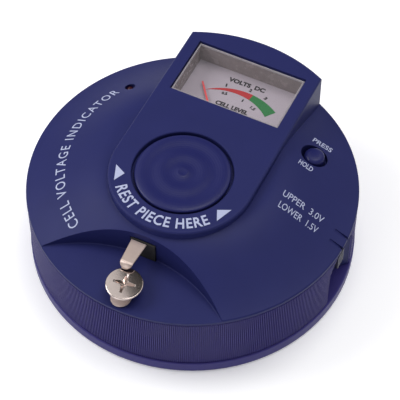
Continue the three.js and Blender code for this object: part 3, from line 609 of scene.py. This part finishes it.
def caseOpenings():
    # the recess, the scoop, and what the pad, window, button, lamp, screw, contacts and lever need
    shape = caseShape
    floor = shape["recessFloor"]
    fit = shape["fit"]
    recess = rounded(shape["recessRadius"], floor, shape["recessFillet"], 5, True)
    pocket = padRadius + shape["padGap"]
    mouth = pocket + shape["pocketEdge"]
    wellLine = rounded(well["radius"], well["floor"], well["floorRound"], 5, True)
    lever = knobLow.z + scoopShape["leverRise"]
    leverBack = shape["radius"] - scoopShape["depth"] - scoopShape["leverReach"]
    room = scoopShape["leverRoom"]
    return [
        turned("recess", recess + [(shape["recessRadius"], above)], 240, 0, shape["recessY"]),
        scoopTool("scoop", 0, seam - 1),
        turned("padPocket", [(pocket, caseTop - shape["padPocket"]), (pocket, caseTop - 0.25),
                             (mouth, caseTop + 0.05), (mouth, above)], 160, 0, padY),
        block("window", (windowLow.x - fit, windowLow.y - fit, coverLow.z - 1),
              (windowHigh.x + fit, windowHigh.y + fit, above)),
        turned("well", wellLine + [(well["radius"], above)], 64, buttonX, buttonY),
        turned("wellHole", [(well["hole"], well["holeFoot"]), (well["hole"], above)], 48, buttonX, buttonY),
        turned("lampHole", [(well["lamp"], well["holeFoot"]), (well["lamp"], above)], 40, lampX, lampY),
        turned("screwHole", [(shape["screwHole"], 10), (shape["screwHole"], above)], 32, 0, screwY),
        block("legSlot", (legLow.x - fit, legLow.y - fit, floor - shape["slotDepth"]),
              (legHigh.x + fit, legLow.y + shape["leaf"] + fit, armHigh.z + shape["slotRoom"])),
        block("stripSlot", (stripLow.x - fit, stripHigh.y - shape["leaf"] - fit, floor - shape["slotDepth"]),
              (stripHigh.x + fit, stripHigh.y + fit, floor + 1)),
        block("leverSlot", (leverBack, scoopShape["y"] - scoopShape["leverHalf"], lever - room),
              (shape["radius"], scoopShape["y"] + scoopShape["leverHalf"], lever + room)),
    ]


def switchMarks():
    # two short grooves over the rim, one for each stop of the lever
    rimZ = caseShape["rimHeight"]
    outer = caseShape["radius"]
    start = outer - scoopShape["markLength"]
    deep = outer - scoopShape["markDepth"]
    line = [(start, rimZ + 2.6), (start + 0.3, rimZ + 1.4), (outer - 1.2, rimZ - 0.45), (deep, rimZ - 1),
            (deep, rimZ - 5), (outer + 2, rimZ - 5), (outer + 2, rimZ + 5), (start, rimZ + 5)]
    half = scoopShape["markWidth"] / 2
    marks = []
    for side in (-1, 1):
        y = scoopShape["y"] + side * scoopShape["markPitch"] / 2
        marks.append(loft("mark", [[(x, y + s * half, z) for x, z in line] for s in (-1, 1)]))
    return marks


def makeCaseTop():
    case = caseOutside()
    carve(case, [caseInside()] + caseOpenings() + switchMarks())
    bevelled(case, caseShape["sharpEdge"], 38)
    painted(case, "navy")
    return fitted(case, "root", "case_plastic", "top_case")


topCase = makeCaseTop()
print("upper case made:", len(topCase.data.polygons), "faces")


# groove, rise and crest say at which share of a rib's width each of them ends; the rest is the fall
ribShape = {"count": 520, "depth": 0.45, "backing": 0.5, "groove": 0.28, "rise": 0.46, "crest": 0.82,
            "footGap": 0.05, "headGap": 0.35, "footEdge": 0.12, "headEdge": 0.3}


def makeRibbedBand():
    shape = ribShape
    low = seam + shape["footGap"]
    high = caseShape["rimHeight"] - caseShape["edgeRound"] - caseShape["rimBand"] - shape["headGap"]
    count = shape["count"]
    inner = caseShape["ribbedRadius"] - shape["backing"]
    groove = caseShape["ribbedRadius"]
    ridge = groove + shape["depth"]
    foot = shape["footEdge"]
    shares = (0.0, shape["groove"]), (shape["rise"], shape["crest"])

    def ring(valley, crest, z):
        # each rib is a flat crest between two sloping sides
        loop = []
        for i in range(count):
            for radius, pair in zip((valley, crest), shares):
                for share in pair:
                    turn = 2 * math.pi * (i + share) / count
                    loop.append((radius * math.cos(turn), radius * math.sin(turn), z))
        return loop

    loops = [ring(inner, inner, low), ring(groove, ridge - foot, low), ring(groove, ridge, low + foot),
             ring(groove, ridge, high - shape["headEdge"]), ring(groove, groove + 0.02, high),
             ring(inner, inner, high)]
    band = loft("ribbedBand", loops, True, 25)
    carve(band, [scoopTool("bandScoop", 0.02, seam - 1)])
    smoothOver(band, 25)
    # the side wall takes the lighter navy, which is painted light
    painted(band, "wallNavyPaintedLight")
    return fitted(band, "root", "case_plastic")


makeRibbedBand()
print("ribbed band made")


# a dished disc with slow waves and faint turned rings
padShape = {"crestRoom": 0.08, "edgeWidth": 1.9, "edgeDrop": 0.75, "edgeCurve": 2.2, "footEdge": 0.3,
            "wave": 0.12, "wavePitch": 6.4, "waveCrest": 13.4, "ring": 0.007, "ringPitch": 0.8,
            "gateRadius": 1.5, "gate": 0.1, "gateWidth": 0.5, "rows": 170, "rowCrowding": 1.25}


def makePad():
    shape = padShape
    crest = padHigh.z - shape["crestRoom"]
    edge = padRadius - shape["edgeWidth"]

    def height(r):
        # slow waves across the disc, fine turned rings on top of them and a moulding gate in the middle
        wave = shape["wave"] * (math.cos(2 * math.pi * (r - shape["waveCrest"]) / shape["wavePitch"]) - 1)
        ring = shape["ring"] * (math.cos(2 * math.pi * r / shape["ringPitch"]) - 1)
        gate = shape["gate"] * math.exp(-((r - shape["gateRadius"]) / shape["gateWidth"]) ** 2)
        over = max(0.0, (r - edge) / shape["edgeWidth"])
        drop = shape["edgeDrop"] * (1 - math.sqrt(max(0, 1 - over ** shape["edgeCurve"])))
        return crest + wave * (1 - over) + ring + gate - drop

    foot = shape["footEdge"]
    profile = [(0.01, padLow.z), (padRadius - foot, padLow.z), (padRadius, padLow.z + foot)]
    rows = shape["rows"]
    for i in range(rows + 1):
        r = padRadius * (1 - (i / rows) ** shape["rowCrowding"])
        profile.append((max(r, 0.01), height(r)))
    pad = turned("padDisc", profile, 160, 0, padY, smoothAngle=50)
    painted(pad, "padNavy")
    return fitted(pad, "root", "pad_plastic", "watch_pad")


makePad()


buttonShape = {"flange": 1.2, "crown": 1.5, "fullness": 0.8, "rows": 14}


def makeButton():
    # a stem with a flange that keeps it in the case, and a full round crown
    shape = buttonShape
    stem = sliceOf("test_button", buttonHigh.z - 2, buttonHigh.z)
    radius = (stem[1].x - stem[0].x) / 2
    flange = (buttonHigh.x - buttonLow.x) / 2
    shoulder = buttonLow.z + shape["flange"]
    crown = buttonHigh.z - shape["crown"]
    profile = [(0.01, buttonLow.z), (flange, buttonLow.z), (flange, shoulder), (radius, shoulder),
               (radius, crown)]
    rows = shape["rows"]
    for i in range(1, rows + 1):
        turn = math.pi / 2 * i / rows
        profile.append((radius * math.cos(turn) ** shape["fullness"] if i < rows else 0.01,
                        crown + shape["crown"] * math.sin(turn)))
    cap = turned("buttonCap", profile, 64, buttonX, buttonY)
    painted(cap, "padNavy")
    return fitted(cap, "button", "pad_plastic", "test_button")


makeButton()
print("pad and button made")

screwShape = {"edge": 0.3, "dome": 0.14, "brim": 0.55, "taper": 1.5, "sharpEdge": 0.12,
              "shank": 2.0, "pitch": 0.7, "threadDepth": 0.3, "tip": 0.4, "plainLength": 9}

# neck and tip: where an arm of the cross starts, and how wide its end is, as shares of its reach and width
crossShape = {"reach": 3.9, "width": 1.9, "depth": 0.95, "turn": 8.5, "neck": 0.42, "tip": 0.62,
              "corner": 0.86, "floorReach": 0.66, "floorWidth": 0.1}


def crossTool(floor, top):
    # a cross recess whose arms narrow towards their ends and towards the bottom
    shape = crossShape
    neck, tip = shape["neck"], shape["tip"]

    def star(scale, spread, z):
        loop = []
        for arm in range(4):
            base = math.radians(shape["turn"]) + arm * math.pi / 2
            for along, side in ((neck, -1.0), (1.0, -tip), (1.0, tip), (neck, 1.0)):
                x = shape["reach"] * scale * along
                y = side * shape["width"] / 2 * spread
                loop.append((x * math.cos(base) - y * math.sin(base),
                             x * math.sin(base) + y * math.cos(base), z))
            corner = base + math.pi / 4
            inner = shape["width"] * spread * shape["corner"]
            loop.append((inner * math.cos(corner), inner * math.sin(corner), z))
        return loop
    return loft("cross", [star(shape["floorReach"], shape["floorWidth"], floor), star(1.0, 1.0, top)])


def makeScrew():
    shape = screwShape
    top = screwHigh.z - shape["dome"]
    under = boxOf("contact_spacer")[1].z
    shank = shape["shank"]
    pitch = shape["pitch"]
    tip = shape["tip"]
    profile = [(0.01, screwLow.z), (shank - tip, screwLow.z), (shank, screwLow.z + tip)]
    z = screwLow.z + tip
    while z < under - shape["plainLength"]:
        profile += [(shank, z + 0.1), (shank - shape["threadDepth"], z + pitch / 2)]
        z += pitch
    profile += [(shank, under), (headRadius - shape["taper"], under), (headRadius, top - shape["brim"])]
    profile += rounded(headRadius, top, shape["edge"], 5)
    for i in range(1, 16):
        r = (headRadius - shape["edge"]) * (1 - i / 15.0)
        profile.append((max(r, 0.01), top + shape["dome"] * (1 - (r / headRadius) ** 2)))
    screw = turned("contactScrew", profile, 96, 0, 0)
    carve(screw, [crossTool(top - crossShape["depth"], top + shape["dome"] + 0.5)])
    screw.data.transform(Matrix.Translation((0, screwY * millimetre, 0)))
    bevelled(screw, shape["sharpEdge"], 30)
    painted(screw, "nickel")
    return fitted(screw, "root", "nickel", "contact_screw")


makeScrew()

# a flat spring leaf with a rounded nose bent down
armShape = {"thickness": 0.5, "nose": 2.2, "noseDrop": 1.25, "noseRound": 2.6, "noseCurl": 1.7,
            "narrowing": 0.55, "edge": 0.14, "rows": 60, "rowCrowding": 1.9}


def makeArm():
    shape = armShape
    back = armHigh.y
    front = armLow.y
    bend = front + shape["nose"]
    top = armHigh.z
    middle = (armLow.x + armHigh.x) / 2
    wide = (armHigh.x - armLow.x) / 2
    narrow = wide - shape["narrowing"]
    loops = []
    for i in range(shape["rows"] + 1):
        share = i / shape["rows"]
        y = back + (front + 0.02 - back) * (1 - (1 - share) ** shape["rowCrowding"])
        past = max(0.0, (bend - y) / shape["nose"])
        half = wide + (narrow - wide) * min(1, (back - y) / (back - bend))
        half *= math.sqrt(max(0.004, 1 - past ** shape["noseRound"]))
        drop = shape["noseDrop"] * (past ** shape["noseCurl"])
        edge = min(shape["edge"], half * 0.4)
        z1 = top - drop
        z0 = z1 - shape["thickness"]
        loops.append([
            (middle - half, y, z0 + edge), (middle - half + edge, y, z0), (middle + half - edge, y, z0),
            (middle + half, y, z0 + edge), (middle + half, y, z1 - edge), (middle + half - edge, y, z1),
            (middle - half + edge, y, z1), (middle - half, y, z1 - edge),
        ])
    arm = loft("contactArm", loops, smoothAngle=40)
    painted(arm, "armNickel")
    return fitted(arm, "arm", "nickel", "contact_arm")


makeArm()
# the arm's foot takes the nickel darkened with painted shade
for name, finish, width in (("contact_arm_foot", "legNickelPaintedShade", 0), ("contact_strip", "dullNickel", 0.1),
                            ("contact_spacer", "nickel", 0.1), ("contact_nut", "dullNickel", 0)):
    painted(refined(name, "root", "nickel", width), finish)
print("contacts made")

coverShape = {"pane": 0.9, "paneLip": 0.05, "paneSlope": 0.25, "bevel": 0.55, "chamfer": 0.35,
              "innerLip": 0.08, "joint": 0.02, "skirt": 0.25, "dialGap": 0.1}

# the scale is a tapering band round the pointer's pivot; its angles count down from the low end
scaleShape = {"pivotY": 17.2, "radius": 20.5, "width": 4.1, "start": 127.5, "turn": 80.0, "end": 52.3,
              "lift": 0.06, "thickness": 0.05, "leastShare": 0.03, "steps": 28}


def rectangle(low, high, inset, z):
    return [(low.x + inset, low.y + inset, z), (high.x - inset, low.y + inset, z),
            (high.x - inset, high.y - inset, z), (low.x + inset, high.y - inset, z)]


def makeMeterCover():
    # a clear pane in a bevelled frame, on four walls that run down to the dial
    shape = coverShape
    top = coverHigh.z
    low, high = windowLow, windowHigh
    bevel = shape["bevel"]
    chamfer = shape["chamfer"]
    inner = bevel - shape["joint"]
    paneFoot = top - shape["pane"]
    pane = loft("windowPane", [rectangle(low, high, bevel, paneFoot),
                               rectangle(low, high, bevel, top - shape["paneLip"]),
                               rectangle(low, high, bevel + shape["paneSlope"], top)], smoothAngle=10)
    painted(pane, "pane")
    fitted(pane, "root", "clear_cover", "meter_cover")
    edge = loft("windowBevel", [rectangle(low, high, 0, paneFoot),
                                rectangle(low, high, 0, top - chamfer),
                                rectangle(low, high, chamfer, top - shape["joint"]),
                                rectangle(low, high, inner, top - shape["innerLip"]),
                                rectangle(low, high, inner, paneFoot)], True, 10)
    painted(edge, "paneEdge")
    fitted(edge, "root", "clear_cover")
    skirt = shape["skirt"]
    foot = dialHigh.z + shape["dialGap"]
    head = paneFoot - shape["joint"]
    corners = ((0, foot), (0, head), (skirt, head), (skirt, foot))
    walls = loft("windowWalls", [rectangle(low, high, inset, z) for inset, z in corners], True, 10)
    painted(walls, "paneWall")
    fitted(walls, "root", "clear_cover")


def dialArc(name, start, end, finish):
    # a stretch of the scale band, from one angle to another
    shape = scaleShape
    top = dialHigh.z + shape["lift"]
    under = top - shape["thickness"]
    rows = []
    for i in range(shape["steps"] + 1):
        degrees = start + (end - start) * i / shape["steps"]
        share = (shape["start"] - degrees) / (shape["start"] - shape["end"])
        half = shape["width"] * max(share, shape["leastShare"]) / 2
        turn = math.radians(degrees)
        row = []
        for offset, z in ((-half, under), (half, under), (half, top), (-half, top)):
            r = shape["radius"] + offset
            row.append((r * math.cos(turn), shape["pivotY"] + r * math.sin(turn), z))
        rows.append(row)
    arc = loft(name, rows)
    painted(arc, finish)
    return fitted(arc, "root", "dial_face")


letterShape = {"thickness": 0.05, "extrude": 0.01, "curveSteps": 3, "weld": 1e-5}


def lettering(name, text, width, height, spot, finish, slotName, spacing=1.0, bold=0.0):
    # text as a thin raised print: spot(along, up, out) says where each point goes
    shape = letterShape
    curve = bpy.data.curves.new(name, "FONT")
    curve.body = text
    curve.extrude = shape["extrude"]
    curve.resolution_u = shape["curveSteps"]
    curve.space_character = spacing
    curve.offset = bold
    writer = bpy.data.objects.new(name + "Writer", curve)
    scene.collection.objects.link(writer)
    graph = bpy.context.evaluated_depsgraph_get()
    mesh = bpy.data.meshes.new_from_object(writer.evaluated_get(graph))
    bpy.data.objects.remove(writer)
    build = bmesh.new()
    build.from_mesh(mesh)
    bmesh.ops.remove_doubles(build, verts=build.verts, dist=shape["weld"])
    xs = [v.co.x for v in build.verts]
    ys = [v.co.y for v in build.verts]
    for v in build.verts:
        along = (v.co.x - min(xs)) / (max(xs) - min(xs)) * width
        up = (v.co.y - min(ys)) / (max(ys) - min(ys)) * height
        v.co = spot(along, up, shape["thickness"] if v.co.z > 0 else 0.0)
    piece = pieceFrom(name, build)
    painted(piece, finish)
    return fitted(piece, "root", slotName)


def onDial(x, y, slope):
    base = dialHigh.z + 0.01
    turn = math.radians(slope)

    def spot(along, up, out):
        return (x + along * math.cos(turn) - up * math.sin(turn),
                y + along * math.sin(turn) + up * math.cos(turn), base + out)
    return spot


# name, words, width, height, left end, foot, slope in degrees
dialWords = [
    ("dialTitle", "VOLTS  DC", 13.4, 1.9, -6.7, 40.75, 1.5),
    ("upperOne", "1", 0.55, 1.35, -6.4, 38.0, 12),
    ("upperTwo", "2", 1.0, 1.35, 1.6, 39.6, -4),
    ("upperThree", "3", 1.0, 1.35, 7.5, 38.8, -20),
    ("lowerHalf", "0.5", 2.0, 1.2, -6.2, 34.4, 10),
    ("lowerOne", "1", 0.5, 1.2, 1.3, 34.4, -6),
    ("lowerMore", "1.5", 1.9, 1.2, 5.0, 33.1, -18),
    ("dialFoot", "CELL LEVEL", 12.0, 1.9, -6.4, 29.6, 0),
]


def makeDialPrint():
    dialArc("arcRed", scaleShape["start"], scaleShape["turn"], "dialRed")
    dialArc("arcGreen", scaleShape["turn"], scaleShape["end"], "dialGreen")
    for name, text, width, height, x, y, slope in dialWords:
        lettering(name, text, width, height, onDial(x, y, slope), "dialInk", "dial_face", bold=0.05)


makeMeterCover()
makeDialPrint()
print("meter made")

# angles are in degrees round the case or the pad
printShape = {"lift": 0.02, "rimRadius": 41.75, "rimStart": 236.2, "rimEnd": 152.6, "rimHeight": 3.3,
              "rimSpacing": 1.25, "padSpacing": 1.1, "padTextBold": 0.02,
              "padTextRadius": 22.4, "padTextStart": 221.5, "padTextEnd": 319.5, "padTextHeight": 4.0}


def roundRim(along, up, out):
    shape = printShape
    turn = math.radians(shape["rimStart"]) - along / shape["rimRadius"]
    r = shape["rimRadius"] + up
    x, y = r * math.cos(turn), r * math.sin(turn)
    return (x, y, domeHeight(x, y) + shape["lift"] + out)


def roundPad(along, up, out):
    shape = printShape
    turn = math.radians(shape["padTextStart"]) + along / shape["padTextRadius"]
    r = shape["padTextRadius"] - up
    return (r * math.cos(turn), padY + r * math.sin(turn), caseTop + shape["lift"] + out)


def straight(x0, y0):
    def spot(along, up, out):
        x, y = x0 + along, y0 + up
        return (x, y, domeHeight(x, y) + printShape["lift"] + out)
    return spot


# name, words, width, height, left end, foot, extra thickness of the strokes
rangeWords = [
    ("pressWord", "PRESS", 6.8, 2.2, 30.0, 28.9, 0.015),
    ("holdWord", "HOLD", 4.9, 2.2, 30.5, 15.8, 0.015),
    ("upperRange", "UPPER  3.0V", 14.3, 2.5, 31.6, 0.9, 0.0),
    ("lowerRange", "LOWER  1.5V", 13.7, 2.5, 32.1, -3.6, 0.0),
]
arrowShape = {"corners": [(20.6, -13.8), (16.5, -15.8), (18.3, -19.7)], "levels": (0.01, 0.07)}


def makePrint():
    shape = printShape
    rimSpan = math.radians(shape["rimStart"] - shape["rimEnd"]) * shape["rimRadius"]
    padSpan = math.radians(shape["padTextEnd"] - shape["padTextStart"]) * shape["padTextRadius"]
    lettering("rimWords", "CELL VOLTAGE INDICATOR", rimSpan, shape["rimHeight"], roundRim,
              "ink", "case_plastic", shape["rimSpacing"])
    lettering("padWords", "REST PIECE HERE", padSpan, shape["padTextHeight"], roundPad,
              "ink", "case_plastic", shape["padSpacing"], shape["padTextBold"])
    for name, text, width, height, x, y, bold in rangeWords:
        lettering(name, text, width, height, straight(x, y), "ink", "case_plastic", bold=bold)
    for side, label in ((-1, "Left"), (1, "Right")):
        corners = [(side * x, y) for x, y in arrowShape["corners"]]
        loops = [[(x, y, caseTop + z) for x, y in corners] for z in arrowShape["levels"]]
        arrow = loft("arrow" + label, loops)
        painted(arrow, "ink")
        fitted(arrow, "root", "case_plastic")


makePrint()
print("print made")

# node, body, slot, finish, width of its small round edges
fineNodes = [
    ("base_case", "root", "case_plastic", "wallNavyPaintedLight", 0.12),
    ("battery_door", "door", "case_plastic", "navy", 0.12),
    ("switch_knob", "knob", "knob_plastic", "knobNavy", 0.12),
    ("lamp", "root", "lamp_lens", "lens", 0),
    ("battery", "root", "battery_jacket", "jacket", 0.3),
]
for name, body, slotName, finish, width in fineNodes:
    painted(refined(name, body, slotName, width), finish)

# the finish of every CAD node, by its material slot
slotFinish = {
    "case_plastic": "navy", "pad_plastic": "padNavy", "knob_plastic": "knobNavy", "clear_cover": "pane",
    "meter_housing": "meterGrey", "dial_face": "dialCard", "pointer_red": "needleRed",
    "copper_wire": "copper", "ferrite": "ironGrey", "brass_bits": "brass", "nickel": "nickel",
    "screw_steel": "zinc", "board_green": "board", "chip_black": "black", "switch_metal": "zinc",
    "resistor_body": "resistor", "capacitor_sleeve": "sleeve", "battery_jacket": "jacket",
    "lamp_lens": "lens", "red_wire": "redWire", "black_wire": "blackWire",
}
for row in frame["record"]["subparts"]:
    painted(nodes[row["node"]], slotFinish[row["material_slot"]])
print("CAD nodes painted")

studio = {
    "floorSize": 4.0, "floor": (0.95, 0.95, 0.955), "floorGlow": 0.2, "floorGap": 0.0002,
    "ambient": 0.4, "ambientTint": (0.98, 0.97, 1.0),
    "lamps": [
        # name, azimuth, elevation, distance, size, watts
        ("topLamp", 150, 78, 1.0, 0.6, 3.6),
        ("leftLamp", 285, 46, 0.5, 0.3, 1.15),
        ("rightLamp", 150, 55, 1.0, 0.8, 1.6),
        ("frontLamp", 350, 24, 1.0, 0.5, 1.0),
    ],
    # two cards, one dark and one bright, that only show as reflections in the metal
    "cards": [
        # name, swing to the right, tip, width, height, own light
        ("darkCard", 9.7, 14.0, 0.36, 0.9, 0.0),
        ("brightCard", -16.2, 14.0, 0.36, 0.9, 0.78),
    ],
    "cardDistance": 0.8,
}


def makeCard(name, aim, side, width, height, glow):
    # faces the screw head; side is the way its width runs
    along = side - aim * side.dot(aim)
    along.normalize()
    upright = aim.cross(along)
    centre = Vector((0, screwY, screwHigh.z)) + aim * studio["cardDistance"] / millimetre
    build = bmesh.new()
    corners = []
    for x, y in ((-1, -1), (1, -1), (1, 1), (-1, 1)):
        offset = along * x * width / 2 + upright * y * height / 2
        corners.append(build.verts.new(centre + offset / millimetre))
    build.faces.new(corners)
    card = pieceFrom(name, build)
    card.visible_camera = False
    card.visible_diffuse = False
    card.visible_shadow = False
    card.visible_transmission = False
    paint = Finish(name + "Paint")
    paint.done(paint.node("BsdfPrincipled", None, {
        "Base Color": (0.01, 0.01, 0.01, 1), "Roughness": 1.0, "Specular IOR Level": 0.0,
        "Emission Color": (1, 1, 1, 1), "Emission Strength": glow}))
    card.data.materials.append(paint.material)


def makeFloor():
    build = bmesh.new()
    bmesh.ops.create_grid(build, x_segments=2, y_segments=2, size=studio["floorSize"] / 2 / millimetre)
    floor = pieceFrom("floor", build)
    floor.location.z = -studio["floorGap"]
    paint = Finish("floorPaper")
    tone = paint.grain(40, 2)
    paint.done(paint.node("BsdfPrincipled", None, {
        "Base Color": paint.blended(tone, studio["floor"], tuple(c * 0.985 for c in studio["floor"])),
        "Roughness": 0.9 + 0.02 * tone, "Specular IOR Level": 0.0,
        "Emission Color": (1, 1, 1, 1), "Emission Strength": studio["floorGlow"]}))
    floor.data.materials.append(paint.material)


def makeWorld():
    world = bpy.data.worlds.new("studio")
    world.use_nodes = True
    sky = world.node_tree.nodes["Background"]
    sky.inputs["Color"].default_value = (*studio["ambientTint"], 1)
    sky.inputs["Strength"].default_value = studio["ambient"]
    scene.world = world


def makeLamp(name, azimuth, elevation, distance, size, watts):
    back = outward(azimuth, elevation)
    light = bpy.data.lights.new(name, "AREA")
    light.shape = "DISK"
    light.size = size
    light.energy = watts
    holder = bpy.data.objects.new(name, light)
    holder.rotation_mode = "QUATERNION"
    holder.rotation_quaternion = back.to_track_quat("Z", "Y")
    holder.location = back * distance
    scene.collection.objects.link(holder)


def makeCards():
    # they stand where a flat metal top mirrors the room to someone at the bench
    mirrored = outward(cameraLook["azimuth"] + 180, cameraLook["elevation"])
    a = math.radians(cameraLook["azimuth"])
    right = Vector((math.cos(a), math.sin(a), 0))
    across = mirrored.cross(right)
    for name, swing, tip, width, height, glow in studio["cards"]:
        side = right * math.cos(math.radians(tip)) + across * math.sin(math.radians(tip))
        aim = mirrored * math.cos(math.radians(swing)) + side * math.sin(math.radians(swing))
        makeCard(name, aim, side, width, height, glow)


makeFloor()
makeWorld()
for entry in studio["lamps"]:
    makeLamp(*entry)
makeCards()
scene.view_settings.view_transform = "Standard"
scene.view_settings.look = "None"
print("studio ready")
